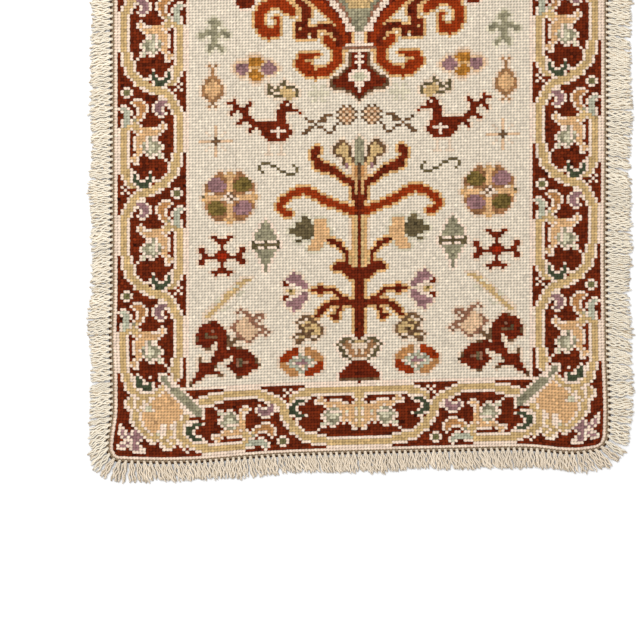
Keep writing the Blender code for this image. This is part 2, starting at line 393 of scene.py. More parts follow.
# Tree: base, cup, trunk, branches and flowers
patch("n", (-6, 24), (-6, 25), (-3.5, 27.5), (-2, 29.6), (3, 29.6), (4.5, 27.5), (7, 25), (7, 24))
stroke("b", 1.0, (-5.0, 23.5), (6.0, 23.5))
put("n", 0, 22)
patch("v", (-2.5, 30), (-6, 35), (-5, 37.5), (1.5, 37.5), (1.5, 30))
for points in (
    ((-4.2, 37.6), (-2.6, 37.6)), ((-1.8, 36.8), (-1.5, 36.8)), ((-5.2, 36.7), (-4.9, 36.7)),
    ((-6.1, 35.7), (-6.1, 34.9)), ((-5.2, 34.1), (-4.8, 33)), ((-4.5, 32.3), (-3.9, 31.2)),
    ((-3.0, 30.2), (-2.5, 30.2)),
):
    stroke("a", 1.1, *points)
stroke("d", 2.1, (-3.6, 35.6), (-2.1, 33.3), (-1.4, 31.7))
stroke("t", 1.4, (-0.8, 36.8), (0.5, 36.8))
stroke("d", 1.0, (0.5, 33.5), (0.5, 31.5))
halo("w")
stroke("n", 3.0, (0.5, 39.0), (0.5, 60.0))
patch("n", (-1, 57.5), (-2.5, 58), (-4.5, 60.4), (-6.5, 61), (-8, 61.2), (-8, 63), (-6.8, 64), (-5, 63.8),
      (-3.3, 62.8), (-1, 62.4), (0.5, 62.8), (2, 62.4), (2, 57.5))
stroke("n", 1.1, (-3.5, 62.5), (-3.5, 67.2))
stroke("n", 1.6, (-3.6, 67.2), (-5.0, 68.8), (-6.6, 70.6), (-9.2, 71.4))
stroke("n", 1.1, (0.5, 62.0), (0.5, 80.0))
stroke("n", 3.2, (0.5, 80.0), (0.5, 86.5))
strokes("n", 1.1, ((0.5, 86.0), (0.5, 93.0)), ((-1.7, 86.0), (-1.7, 91.0)))
stroke("n", 2.3, (-2.0, 91.2), (-3.5, 92.0), (-5.5, 93.5), (-8.5, 95.8))
stroke("n", 3.0, (-8.5, 95.8), (-12.4, 97.4))
stroke("n", 2.4, (-13.0, 98.0), (-13.9, 100.5), (-13.3, 102.6))
stroke("n", 1.6, (-13.3, 102.8), (-12.4, 103.2))
stroke("n", 2.6, (-4.5, 50.7), (-1.0, 49.5))
stroke("n", 1.3, (-14.6, 54.3), (-8.5, 54.3), (-6.5, 53.3), (-5.0, 51.5))
patch("n", (-13, 53), (-11, 53), (-11, 55.9), (-13, 55.9))
stroke("n", 1.8, (-12.8, 45.8), (-11.4, 47.4), (-10.0, 48.9), (-8.5, 49.6), (-4.0, 49.7))
stroke("n", 1.6, (-5.4, 49.0), (-6.2, 47.2))
patch("n", (-7.6, 43.6), (-5.5, 43.6), (-5.5, 46.4), (-7.6, 46.4))
put("n", -9, 45)
halo("y")
stroke("r", 2.4, (-1.6, 81.4), (-5.0, 82.9), (-9.0, 84.5), (-12.0, 86.0), (-14.0, 87.5), (-16.5, 88.7),
       (-18.5, 88.8), (-21.0, 87.7), (-23.5, 86.0), (-24.7, 84.0))
stroke("r", 1.9, (-24.7, 84.0), (-24.6, 82.3), (-23.3, 81.2), (-21.9, 81.2))
halo("y")
stroke("t", 1.9, (-1.6, 63.2), (-1.6, 66.0))
stroke("y", 1.0, (-1.5, 63.0), (-1.5, 79.0))
stroke("t", 1.0, (-0.5, 63.0), (-0.5, 79.0))
stroke("y", 1.0, (-0.5, 87.5), (-0.5, 93.0))
patch("t", (-6.8, 101), (-6.6, 103.8), (-5, 104.8), (-3.3, 104), (-2.5, 101), (-2, 97.5), (-3.4, 97),
      (-4, 99), (-5, 100.8))
patch("g", (-1.4, 97.5), (-1.4, 104), (-0.5, 105.5), (0.5, 107.2), (2.4, 104), (2.4, 97.5), (0.5, 96.5))
strokes("b", 1.0,
        ((-7.6, 101.6), (-7.4, 103.3), (-6.2, 104.4), (-5.0, 105.4), (-4.0, 105.2), (-2.9, 104.0),
         (-2.3, 101.5), (-1.7, 98.0)),
        ((-6.9, 100.3), (-5.4, 100.4), (-4.6, 98.9), (-4.0, 97.1), (-3.6, 96.3)))
stroke("m", 1.0, (-3.7, 97.3), (-3.5, 96.4))
stroke("p", 1.0, (-1.5, 92.5), (-1.5, 97.0))
stroke("o", 1.0, (-0.5, 93.5), (-0.5, 96.5))
stroke("b", 1.0, (0.5, 93.0), (0.5, 97.0))
halo("v")
patch("a", (-14, 73), (-14, 76.6), (-15.2, 77), (-15.2, 78), (-16.5, 80.2), (-17.6, 79.5), (-18, 78),
      (-20, 77.6), (-20.2, 76), (-22, 75.6), (-22, 74), (-20, 73.6), (-18.4, 72.6), (-19.6, 71.4),
      (-19.6, 70.6), (-18, 70.8), (-17, 72.4), (-15.5, 72))
patch("p", (-14, 79), (-10.4, 79), (-9.4, 76), (-9.4, 73), (-10.4, 71.5), (-11, 69), (-13, 67.4),
      (-15.6, 68.4), (-15.4, 71.6), (-14, 73))
halo("h")
for rise in (-1, 1):
    stroke("m", 2.6, (-21.6, 54.3 + rise * 4.2), (-19.0, 54.3 + rise * 3.4), (-16.9, 54.3 + rise * 1.7))
    stroke("m", 1.5, (-20.3, 54.3 + rise * 6.1), (-19.9, 54.3 + rise * 4.6))
    stroke("m", 1.0, (-18.5, 54.3 + rise * 5.4), (-18.2, 54.3 + rise * 4.6))
    stroke("n", 1.4, (-23.7, 54.3 + rise * 2.8), (-22.7, 54.3 + rise * 1.9))
    stroke("w", 1.2, (-22.8, 54.3 + rise * 3.1), (-20.5, 54.3 + rise * 1.9), (-18.4, 54.3 + rise * 0.9))
halo("v")
disc("t", -21.2, 54.3, 1.7, 1.2)
put("l", -22, 54)
patch("t", (-18, 42.5), (-16.5, 44.5), (-14.5, 43.8), (-12.5, 41.8), (-12.3, 39.5), (-14, 38.4),
      (-16, 39.6), (-18, 37.6), (-19.2, 38.4), (-18, 40))
for points in (
    ((-17.4, 45.4), (-15.6, 45.4)), ((-15, 44.5), (-13.6, 43.5)), ((-12.9, 42.6), (-12.6, 42.6)),
    ((-11.6, 41.6), (-11.6, 39.7)), ((-12.7, 38.5), (-12.4, 38.5)), ((-14.8, 37.5), (-13.6, 37.5)),
    ((-16.8, 38.6), (-15.7, 38.6)), ((-19.1, 43.2), (-18.8, 42.6)), ((-18.1, 44.4), (-17.6, 44.4)),
    ((-16.3, 42.4), (-15.7, 42.4)), ((-18, 41.6), (-17.7, 40.0)), ((-15.1, 40.5), (-14.7, 40.5)),
    ((-19.2, 39.4), (-18.9, 39.4)), ((-20.1, 38.4), (-19.8, 37.4)), ((-19.1, 36.5), (-18.8, 36.5)),
    ((-18, 37.4), (-17.7, 37.4)), ((-16.3, 39.4), (-15.9, 39.4)),
):
    stroke("b", 1.1, *points)
halo("v")

# Round flower with four curved leaves
disc("s", -17.8, 29.8, 4.0, 3.6)
for x, j in (
    (-20, 31), (-19, 28), (-16, 31), (-16, 28), (-18, 32), (-18, 27), (-21, 29), (-15, 29), (-20, 29),
):
    put("w", x, j)
dots("g", (-19, 31), (-17, 31), (-19, 27), (-17, 28), (-21, 30), (-15, 30))
stroke("m", 1.0, (-19.2, 29.6), (-16.2, 29.6))
put("m", -18, 30)
put("x", -18, 28)
strokes("r", 2.7, ((-23.6, 30.8), (-22.1, 32.3), (-19.9, 33.4)),
        ((-15.8, 26.1), (-13.5, 27.1), (-12.0, 28.8)))
strokes("o", 2.7, ((-15.8, 33.4), (-13.5, 32.4), (-12.0, 30.8)),
        ((-23.6, 28.6), (-22.1, 27.0), (-19.9, 26.0)))
halo("v")

# Medallion: bell, collar, urn and scrolls. Past the picture's edge its ring is closed plainly
patch("b", (-2.6, 135.6), (-2.8, 131.6), (-4.5, 130), (-5.6, 128.6), (-8.5, 127), (-8.9, 125),
      (-7.6, 123.2), (-6.3, 122.8), (-4.8, 123.4), (-3.4, 121.8), (-2, 121.6), (-0.6, 120), (0.5, 119.2),
      (2, 119.2), (2, 135.6))
patch("n", (-1.6, 135.6), (-1.9, 131.4), (-3.9, 129.6), (-5.0, 128.1), (-7.7, 126.6), (-8.0, 125.0),
      (-6.9, 123.9), (-6.3, 123.7), (-4.6, 124.5), (-3.0, 122.8), (-1.6, 122.6), (-0.2, 121.0), (0.5, 120.4),
      (2, 120.4), (2, 135.6))
halo("v")
disc("w", 0.5, 127.6, 3.4, 2.4)
disc("c", 0.5, 127.6, 2.2, 1.6)
stroke("w", 1.2, (0.5, 135.0), (0.5, 129.5))
strokes("w", 1.0, ((-0.2, 134.4), (1.2, 134.4)), ((-0.2, 132.4), (1.2, 132.4)),
        ((0.5, 125.6), (0.5, 122.8)), ((-0.8, 124.4), (1.8, 124.4)))
angles = np.radians(np.linspace(212, 180, 12))
RING = [(0.5 + 24.4 * np.cos(angle), 184 + 36.0 * np.sin(angle)) for angle in angles]
stroke("r", 3.4, *RING)
stroke("r", 3.4, (-14.0, 155.0), (-17.5, 159.5), (-20.2, 165.0))
stroke("r", 3.2, (-14.0, 155.0), (-10.0, 151.2), (-7.0, 148.2), (-5.0, 144.8), (-3.6, 141.5), (-3.2, 139.0))
stroke("n", 1.2, (-12.0, 155.5), (-8.4, 151.8), (-5.6, 148.2), (-3.6, 144.3), (-2.3, 141.0), (-2.2, 138.8))
stroke("r", 2.9, (-10.0, 140.8), (-9.2, 139.4), (-6.8, 137.2), (-6.2, 134.4), (-7.4, 131.8), (-10.0, 129.7),
       (-13.5, 128.9), (-17.0, 130.0), (-18.6, 132.3), (-18.0, 134.4))
stroke("r", 2.0, (-18.0, 134.4), (-16.0, 135.2), (-14.4, 135.2))
stroke("r", 1.6, (-14.6, 131.2), (-17.0, 132.6))
stroke("r", 1.2, (-12.9, 135.6), (-12.2, 135.2))
halo("y")
stroke("n", 2.3, (-12.0, 144.9), (-9.5, 145.0), (-7.6, 143.3), (-6.4, 141.2), (-5.7, 138.8))
patch("n", (-20, 147.4), (-16.2, 147.4), (-16.2, 144.8), (-12.5, 144.8), (-12.5, 141), (-16, 141),
      (-17, 142), (-18, 140.8), (-20, 140.8))
stroke("n", 2.6, (-17.0, 147.6), (-16.3, 150.5), (-17.8, 153.0), (-20.0, 155.0), (-21.5, 157.0))
halo("y")
put("y", -19, 144)
put("y", -16, 142)
put("f", -16, 141)
stroke("r", 3.2, (-26.6, 143.4), (-28.8, 143.0), (-30.8, 144.8), (-31.7, 147.6), (-31.4, 150.2),
       (-29.8, 152.4), (-27.0, 153.8), (-24.6, 153.4), (-22.8, 151.8), (-21.2, 150.6))
stroke("r", 1.8, (-26.0, 144.6), (-25.6, 146.4))
stroke("r", 1.3, (-26.0, 148.4), (-25.0, 148.0))
halo("y")
dots("y", (-22, 153), (-20, 152), (-19, 150), (-21, 154))
stroke("w", 2.2, (-11.0, 157.5), (-8.4, 154.0), (-5.6, 150.4), (-3.8, 147.2), (-2.8, 144.0))
stroke("u", 1.0, (-4.5, 137.4), (0.5, 137.4))
stroke("w", 1.0, (-4.0, 138.4), (0.5, 138.4))
stroke("v", 1.0, (-3.0, 136.4), (0.5, 136.4))
patch("g", (1.5, 143.4), (-0.8, 143.4), (-1.8, 145.5), (-2.8, 148), (-4.6, 151), (-6.6, 154), (-8.4, 157),
      (-9.2, 161), (1.5, 161))
patch("t", (1.5, 151.4), (-2.6, 151.4), (-4.6, 154), (-6.4, 157), (-7, 160), (1.5, 160))
stroke("u", 1.0, (-2.3, 146.0), (-3.2, 148.6), (-5.0, 151.4), (-7.0, 154.4), (-8.9, 157.4), (-9.6, 161.0))
stroke("w", 1.0, (-9.5, 161.6), (0.5, 161.6))
disc("n", -35.8, 155.4, 3.4, 3.4)
halo("w")
chart[:, MIDDLE + 1 :] = chart[:, MIDDLE - 1 :: -1]
chart[ROWS // 2 :] = chart[ROWS // 2 - 1 :: -1]
chart[[0, -1]] = KEYS.index("w")
chart[:, [0, -1]] = KEYS.index("w")

# The needlework: 157 by 370 wool stitches worked over a canvas, each one a small padded hump with
# pits at its corners. It is made as four long strips of one relief, and every stitch takes its wool
# from the chart. The rows climb to the right and the near end sags, as in the picture.
STITCH = 0.0050
ROW = 0.00466
HUMP = 0.0050
SIDE_DIP = 0.0047
END_DIP = 0.0046
PIT = 0.0034
SKIRT = 0.0026
HALF_WIDTH = 0.3940
HALF_LENGTH = 0.8625
CORNER_RADIUS = 0.018
ROW_CLIMB = 0.0257
SAGS = ((0.0080, -0.289, 0.112), (0.0090, 0.342, 0.052))
SAG_START = 0.60
SAG_REACH = 0.257
SAG_POWER = 1.3
LEFT_WAVES = ((0.0020, -0.669, 0.045),)
RIGHT_WAVES = ((0.0035, -0.805, 0.065), (-0.0013, -0.557, 0.090))
WAVE_START = 0.25
CORNER_SPLAY = 0.0072
SPLAY_SPAN = (0.780, 0.846)
CENTRE_SHIFT = (-0.00196, 0.00223)
STRIPS = ((0, 39), (39, 78), (78, 117), (117, 157))
# How unevenly the stitches' points stand and lie, and how a row's corners zigzag and its sides lean
HEIGHT_NOISE = 0.00010
PLACE_NOISE = 0.00018
ZIGZAG = 0.0005
LEAN_OVER = 0.0006
# Painted light and shade in a stitch's colour: how light it is in its middle (a painted highlight), at its
# sides and ends (painted shade) and in its corner pits (deep painted shade)
MIDDLE_LIGHT, SIDE_LIGHT, END_LIGHT, PIT_LIGHT = 1.10, 0.94, 0.88, 0.30
# Painted shade: the colour of the strips' turned-down edges
SKIRT_PAINTED_SHADE = (0.060, 0.042, 0.027)
# The bake map of a strip folds it in three, this many half rows to a fold, and its turned-down edges
# lie in four thin rows at the top, this many points to a row
FOLD = 248
SKIRT_ROW = 412


def bump(value, middle, spread):
    """A smooth hill, 1 high."""
    return np.exp(-(((value - middle) / spread) ** 2))


def ramp(value, start, end):
    """0 before start, 1 after end, and smooth between."""
    share = np.clip((value - start) / (end - start), 0.0, 1.0)
    return share * share * (3 - 2 * share)


def place(x, y):
    """Where a point of an evenly stitched rug lies on this one."""
    sag = sum(depth * bump(x, middle, spread) for depth, middle, spread in SAGS)
    sag = sag * np.maximum((-y - SAG_START) / SAG_REACH, 0.0) ** SAG_POWER
    left = CORNER_SPLAY * ramp(-y, *SPLAY_SPAN)
    left = left + sum(depth * bump(y, middle, spread) for depth, middle, spread in LEFT_WAVES)
    right = sum(depth * bump(y, middle, spread) for depth, middle, spread in RIGHT_WAVES)
    out = right * ramp(x, WAVE_START, HALF_WIDTH) - left * ramp(-x, WAVE_START, HALF_WIDTH)
    return x + out + CENTRE_SHIFT[0], y + ROW_CLIMB * x - sag + CENTRE_SHIFT[1]


def round_corners(x, y):
    """Pulls the points of a square corner in to a round one."""
    a = 1 - (HALF_WIDTH - np.abs(x)) / CORNER_RADIUS
    b = 1 - (HALF_LENGTH - np.abs(y)) / CORNER_RADIUS
    inside = (a > 0) & (b > 0)
    share = np.where(inside, np.maximum(a, b) / np.maximum(np.hypot(a, b), 1e-9), 1.0)
    x_new = np.sign(x) * (HALF_WIDTH - CORNER_RADIUS * (1 - a * share))
    y_new = np.sign(y) * (HALF_LENGTH - CORNER_RADIUS * (1 - b * share))
    return np.where(inside, x_new, x), np.where(inside, y_new, y)


def add_piece(name, points, faces, material, maps, shades):
    """A smooth piece with its flat maps and its corner colours, which ride with the root."""
    mesh = bpy.data.meshes.new(name)
    mesh.from_pydata(points.tolist(), [], faces)
    for map_name, corners in maps.items():
        layer = mesh.uv_layers.new(name=map_name)
        layer.data.foreach_set("uv", corners.astype(np.float32).ravel())
    layer = mesh.color_attributes.new("wool", "FLOAT_COLOR", "CORNER")
    values = np.concatenate([shades, np.ones((len(shades), 1))], 1)
    layer.data.foreach_set("color", values.astype(np.float32).ravel())
    mesh.shade_smooth()
    mesh.materials.append(material)
    item = bpy.data.objects.new(name, mesh)
    bpy.context.scene.collection.objects.link(item)
    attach(item, "root")
    return item


def math_node(nodes, operation, second=0.5):
    """A maths node with its second value."""
    node = nodes.new("ShaderNodeMath")
    node.operation = operation
    node.inputs[1].default_value = second
    return node


# Plies of a yarn: given how many plies have been passed, how high it stands and how light it is,
# with painted shade in the grooves between the plies
plies = bpy.data.node_groups.new("yarn plies", "ShaderNodeTree")
for socket, way in (("Turns", "INPUT"), ("Height", "OUTPUT"), ("Light", "OUTPUT")):
    plies.interface.new_socket(socket, in_out=way, socket_type="NodeSocketFloat")
turns_in = plies.nodes.new("NodeGroupInput")
plies_out = plies.nodes.new("NodeGroupOutput")
half_turns = math_node(plies.nodes, "MULTIPLY", math.pi)
sine = math_node(plies.nodes, "SINE")
arch = math_node(plies.nodes, "ABSOLUTE")
groove_shade = plies.nodes.new("ShaderNodeMapRange")
groove_shade.inputs["From Max"].default_value = 0.75
groove_shade.inputs["To Min"].default_value = 0.55
plies.links.new(turns_in.outputs["Turns"], half_turns.inputs[0])
plies.links.new(half_turns.outputs[0], sine.inputs[0])
plies.links.new(sine.outputs[0], arch.inputs[0])
plies.links.new(arch.outputs[0], groove_shade.inputs["Value"])
plies.links.new(arch.outputs[0], plies_out.inputs["Height"])
plies.links.new(groove_shade.outputs["Result"], plies_out.inputs["Light"])


def yarn_material(name, roughness, map_name, across, zigzag, shading, relief_strength, relief_depth):
    """Matte yarn in the colours of its corners, with painted shade in the grooves of its plies, slanting
    over a map, or turning back in each half row.
    """
    material = bpy.data.materials.new(name)
    material.use_nodes = True
    nodes, links = material.node_tree.nodes, material.node_tree.links
    shader = nodes["Principled BSDF"]
    shader.inputs["Roughness"].default_value = roughness
    shader.inputs["Specular IOR Level"].default_value = 0.08
    colour = nodes.new("ShaderNodeVertexColor")
    colour.layer_name = "wool"
    flat_map = nodes.new("ShaderNodeUVMap")
    flat_map.uv_map = map_name
    apart = nodes.new("ShaderNodeSeparateXYZ")
    strands = math_node(nodes, "MULTIPLY_ADD", across)
    twist = nodes.new("ShaderNodeGroup")
    twist.node_tree = plies
    shaded = nodes.new("ShaderNodeMix")
    shaded.data_type = "RGBA"
    shaded.blend_type = "MULTIPLY"
    shaded.inputs["Factor"].default_value = shading
    relief = nodes.new("ShaderNodeBump")
    relief.inputs["Strength"].default_value = relief_strength
    relief.inputs["Distance"].default_value = relief_depth
    along = apart.outputs["Y"]
    if zigzag:
        slant = math_node(nodes, "PINGPONG", 0.5)
        links.new(along, slant.inputs[0])
        along = slant.outputs[0]
    links.new(flat_map.outputs["UV"], apart.inputs["Vector"])
    links.new(apart.outputs["X"], strands.inputs[0])
    links.new(along, strands.inputs[2])
    links.new(strands.outputs[0], twist.inputs["Turns"])
    links.new(colour.outputs["Color"], shaded.inputs["A"])
    links.new(twist.outputs["Light"], shaded.inputs["B"])
    links.new(shaded.outputs["Result"], shader.inputs["Base Color"])
    links.new(twist.outputs["Height"], relief.inputs["Height"])
    links.new(relief.outputs["Normal"], shader.inputs["Normal"])
    return material


# Wool: the chart's colour, with plies that slant one way in a row's lower half and back in its upper
wool = yarn_material("wool stitches", 0.92, "stitches", 3.0, True, 0.45, 0.5, 0.0004)

# One relief for the whole needlework, with a point in every stitch's middle, sides and corners
dice = np.random.default_rng(7)
half_column, half_row = np.meshgrid(np.arange(2 * COLUMNS + 1), np.arange(2 * ROWS + 1))
mid_column, mid_row = half_column % 2 == 1, half_row % 2 == 1
height = np.where(mid_row, np.where(mid_column, HUMP, SIDE_DIP), np.where(mid_column, END_DIP, PIT))
height = height + dice.normal(0, HEIGHT_NOISE, height.shape)
even_x = (half_column / 2 - COLUMNS / 2) * STITCH + dice.normal(0, PLACE_NOISE, height.shape)
even_x = even_x + np.where(mid_column & ~mid_row, LEAN_OVER, 0.0)
even_x = even_x + np.where(~mid_column & ~mid_row, ZIGZAG * (-1.0) ** (half_row // 2), 0.0)
even_y = (half_row / 2 - ROWS / 2) * ROW + dice.normal(0, PLACE_NOISE, height.shape)
relief_x, relief_y = place(*round_corners(even_x, even_y))
relief_points = np.stack([relief_x, relief_y, height], -1)
# Painted highlight in each stitch's middle and painted shade at its sides, ends and corner pits, a little
# uneven
painted_relief_light = np.where(
    mid_row, np.where(mid_column, MIDDLE_LIGHT, SIDE_LIGHT), np.where(mid_column, END_LIGHT, PIT_LIGHT)
)
painted_relief_light = painted_relief_light * (1 + dice.normal(0, 0.07, painted_relief_light.shape))
dyes = np.array([WOOLS[key] for key in KEYS])
dye_shades = ((dyes[:, :3] / 255 + 0.055) / 1.055) ** 2.4
unevenness = dyes[:, 3][chart][:, :, None] * 2
stitch_shades = dye_shades[chart] * (1 + unevenness * dice.normal(0, 1, (ROWS, COLUMNS, 1)))
stitch_shades = np.clip(stitch_shades, 0.0, 1.0)


def strip_mesh(name, start, end):
    """One strip of the relief from one column to another, with its edges turned down and painted dark as
    shade.
    """
    points = relief_points[:, 2 * start : 2 * end + 1].reshape(-1, 3)
    lines, wide = 2 * ROWS, 2 * (end - start)
    index = np.arange(len(points)).reshape(lines + 1, wide + 1)
    quads = np.stack([index[:-1, :-1], index[:-1, 1:], index[1:, 1:], index[1:, :-1]], -1)
    quads = quads.reshape(-1, 4)
    line, step = np.meshgrid(np.arange(lines), np.arange(wide), indexing="ij")
    own = stitch_shades[line // 2, start + step // 2].reshape(-1, 1, 3)
    shades = own * painted_relief_light[:, 2 * start : 2 * end + 1].reshape(-1)[quads][:, :, None]
    steps = np.stack([step, step + 1, step + 1, step], -1)
    lined = np.stack([line, line, line + 1, line + 1], -1)
    stitches = np.stack([start + steps / 2, lined / 2], -1).reshape(-1, 2)
    fold = (line // FOLD)[:, :, None]
    bake_x = (fold + 0.012 + 0.976 * steps / wide) / 3
    bake = np.stack([bake_x, 0.004 + 0.966 * (lined - FOLD * fold) / FOLD], -1)
    around = np.concatenate([index[0], index[1:, -1], index[-1, -2::-1], index[-2:0:-1, 0]])
    low = points[around].copy()
    low[:, 2] = SKIRT
    count = len(around)
    lower = len(points) + np.arange(count)
    skirt = np.stack([around, lower, np.roll(lower, -1), np.roll(around, -1)], -1)
    number = np.arange(count)
    left = 0.004 + 0.992 * (number % SKIRT_ROW) / SKIRT_ROW
    level = 0.976 + 0.006 * (number // SKIRT_ROW)
    right = left + 0.992 / SKIRT_ROW
    skirt_bake = np.stack([left, level + 0.004, left, level, right, level, right, level + 0.004], -1)
    # Painted shade: the turned-down edges are dark, as shade in the cracks between strips
    skirt_painted_shades = np.tile(SKIRT_PAINTED_SHADE, (4 * count, 1))
    item = add_piece(
        name,
        np.concatenate([points, low]),
        np.concatenate([quads, skirt]).tolist(),
        wool,
        {
            "OFBake": np.concatenate([bake.reshape(-1, 2), skirt_bake.reshape(-1, 2)]),
            "stitches": np.concatenate([stitches, np.zeros((4 * count, 2))]),
        },
        np.concatenate([shades.reshape(-1, 3), skirt_painted_shades]),
    )
    item.data.polygons.foreach_set("use_smooth", [True] * len(quads) + [False] * count)
    return item


strips = [
    strip_mesh(f"needlework_strip_{number}", start, end)
    for number, (start, end) in enumerate(STRIPS, 1)
]

# The canvas that the stitches are worked on, with its edge turned under and overcast in beige wool.
# It is one closed sheet: a ring of overcast stitches round the edge, a flat top under the relief,
# and an underside that shows the backs of the stitches in the same wools.
UNDERSIDE = 0.0003
OVERCAST = (0.50, 0.36, 0.23)
# How light the unseen backs of the stitches are beside their faces, and the swell of the overcasting
BACK_LIGHT = 0.8
SWELL = 0.0004
CORNER_STEPS = 8
PROFILE = (
    (-0.0045, 0.0034), (-0.0024, 0.0038), (-0.0012, 0.0045), (-0.0002, 0.0043), (0.0005, 0.0030),
    (0.0004, 0.0014), (-0.0006, 0.0005), (-0.0022, 0.0003),
)


def edge_loop():
    """Points of the panel's edge on the even rug with the outward angle at each, anticlockwise."""
    points = []
    angles = []
    corners = ((-1, -1), (1, -1), (1, 1), (-1, 1))
    for number, (side, end) in enumerate(corners):
        for step in range(CORNER_STEPS + 1):
            angle = math.pi + (number + step / CORNER_STEPS) * math.pi / 2
            points.append(
                (
                    side * (HALF_WIDTH - CORNER_RADIUS) + CORNER_RADIUS * math.cos(angle),
                    end * (HALF_LENGTH - CORNER_RADIUS) + CORNER_RADIUS * math.sin(angle),
                )
            )
            angles.append(angle)
    points.append(points[0])
    angles.append(angles[0] + 2 * math.pi)
    points = np.array(points)
    run = np.concatenate(([0.0], np.cumsum(np.linalg.norm(np.diff(points, axis=0), axis=1))))
    return run, points, np.array(angles)


RUN, EDGE_POINTS, EDGE_ANGLES = edge_loop()
LOOP = float(RUN[-1])
CORNER_MIDDLES = [float(RUN[(CORNER_STEPS + 1) * corner + CORNER_STEPS // 2]) for corner in range(4)]
CORNER_MIDDLES.append(LOOP + CORNER_MIDDLES[0])


def edge_angle(run):
    """Outward angle of the edge at a distance along it."""
    turns = np.floor(run / LOOP)
    return np.interp(run - turns * LOOP, RUN, EDGE_ANGLES) + turns * 2 * math.pi


def edge_point(run, outwards):
    """A point at a distance along the edge and at another outside it."""
    at = run % LOOP
    angle = edge_angle(run)
    x, y = place(np.interp(at, RUN, EDGE_POINTS[:, 0]), np.interp(at, RUN, EDGE_POINTS[:, 1]))
    return x + outwards * np.cos(angle), y + outwards * np.sin(angle)


def ring_points(runs, profile, swell):
    """A profile of (outwards, height) carried round the edge, every second step swollen."""
    rings = []
    for outwards, height in profile:
        x, y = edge_point(runs, outwards + swell)
        rings.append(np.stack([x, y, height + swell * 0.7], -1))
    return np.concatenate(rings)


def ring_faces(rings, steps, closed):
    """Faces between the rings, and from the last to the first one if closed."""
    faces = []
    for ring in range(rings if closed else rings - 1):
        near = ring * steps + np.arange(steps)
        far = (ring + 1) % rings * steps + np.arange(steps)
        faces.append(np.stack([near, far, np.roll(far, -1), np.roll(near, -1)], -1))
    return np.concatenate(faces)


back_x, back_y = np.meshgrid(
    (np.arange(1, COLUMNS) - COLUMNS / 2) * STITCH, (np.arange(1, ROWS) - ROWS / 2) * ROW
)
back_x, back_y = round_corners(back_x, back_y)
index = np.arange(back_x.size).reshape(back_x.shape)
border = np.concatenate([index[0], index[1:, -1], index[-1, -2::-1], index[-2:0:-1, 0]])
tries = np.linspace(0, LOOP, 9000, endpoint=False)
tries_x = np.interp(tries, RUN, EDGE_POINTS[:, 0])
tries_y = np.interp(tries, RUN, EDGE_POINTS[:, 1])
away = np.hypot(back_x.ravel()[border][:, None] - tries_x, back_y.ravel()[border][:, None] - tries_y)
border_runs = tries[np.argmin(away, axis=1)]
border_runs = np.where(border_runs < border_runs[0], border_runs + LOOP, border_runs)
following = np.append(border_runs[1:], border_runs[0] + LOOP)
edge_runs = np.stack([border_runs, (border_runs + following) / 2], -1).ravel()
steps = len(edge_runs)
crest = np.arange(steps) % 2
rim = ring_points(edge_runs, PROFILE, SWELL * (crest - 0.5))
under_x, under_y = place(back_x, back_y)
under = np.stack([under_x, under_y, np.full(back_x.shape, UNDERSIDE)], -1).reshape(-1, 3)
rim_quads = ring_faces(len(PROFILE), steps, False)
inner = len(rim) + border
last = len(rim) - steps + np.arange(steps)
band = np.stack([last[::2], inner, np.roll(inner, -1), np.roll(last, -2)[::2], last[1::2]], -1)
backs = np.stack([index[:-1, :-1], index[1:, :-1], index[1:, 1:], index[:-1, 1:]], -1).reshape(-1, 4)
backs = backs + len(rim)
# Painted shade: the overcasting darker in the grooves between its stitches, with a random spread of tone
overcast_and_groove_shade = np.tile(0.62 + 0.38 * crest, len(PROFILE))[:, None] * OVERCAST
overcast_and_groove_shade = overcast_and_groove_shade * (1 + dice.normal(0, 0.05, (len(overcast_and_groove_shade), 1)))
back_shades = BACK_LIGHT * stitch_shades[1:-1, 1:-1].reshape(-1, 1, 3) + np.zeros((1, 4, 3))
cap_shades = np.zeros((steps + 5 * len(band), 3)) + BACK_LIGHT * np.array(OVERCAST)
line, step = np.meshgrid(np.arange(1.0, ROWS - 1), np.arange(1.0, COLUMNS - 1), indexing="ij")
back_map = np.stack(
    [np.stack([step, step, step + 1, step + 1], -1), np.stack([line, line + 1, line + 1, line], -1)], -1
)
rim_step, rim_ring = rim_quads % steps, rim_quads // steps
rim_map = np.stack([rim_ring * 0.5, rim_step * 0.5], -1)
canvas = add_piece(
    "canvas",
    np.concatenate([rim, under]),
    rim_quads.tolist() + [list(range(steps))] + band.tolist() + backs.tolist(),
    wool,
    {
        "stitches": np.concatenate(
            [rim_map.reshape(-1, 2), np.zeros((steps + 5 * len(band), 2)), back_map.reshape(-1, 2)]
        )
    },
    np.concatenate([overcast_and_groove_shade[rim_quads].reshape(-1, 3), cap_shades, back_shades.reshape(-1, 3)]),
)

# The cord of wool laid along the outside of the canvas, which the fringe is hooked over. Its inner
# side is covered by the overcasting, and the rest is painted dark as shade and shows as holes between the
# knots.
CORD_PROFILE = (
    (0.0006, 0.0006), (0.0004, 0.0018), (0.0009, 0.0029), (0.0018, 0.0030), (0.0034, 0.0025),
    (0.0050, 0.0022), (0.0057, 0.0012), (0.0046, 0.0003), (0.0024, 0.0002),
)
# Painted shade: the dark of the cord's outer side, seen as shaded holes between the knots
CORD_PAINTED_SHADE = (0.075, 0.035, 0.015)
cord_runs = edge_runs[::2]
cord_steps = len(cord_runs)
cord_quads = ring_faces(len(CORD_PROFILE), cord_steps, True)
cord_wool_and_shade = np.repeat(
    [np.array(OVERCAST) * BACK_LIGHT if ring < 4 else CORD_PAINTED_SHADE for ring in range(len(CORD_PROFILE))],
    cord_steps,
    axis=0,
)
cord_map = np.stack([cord_quads // cord_steps * 0.5, cord_quads % cord_steps * 0.7], -1)
edge_cord = add_piece(
    "edge_cord",
    ring_points(cord_runs, CORD_PROFILE, np.zeros(cord_steps)),
    cord_quads.tolist(),
    wool,
    {"stitches": cord_map.reshape(-1, 2)},
    cord_wool_and_shade[cord_quads].reshape(-1, 3),
)

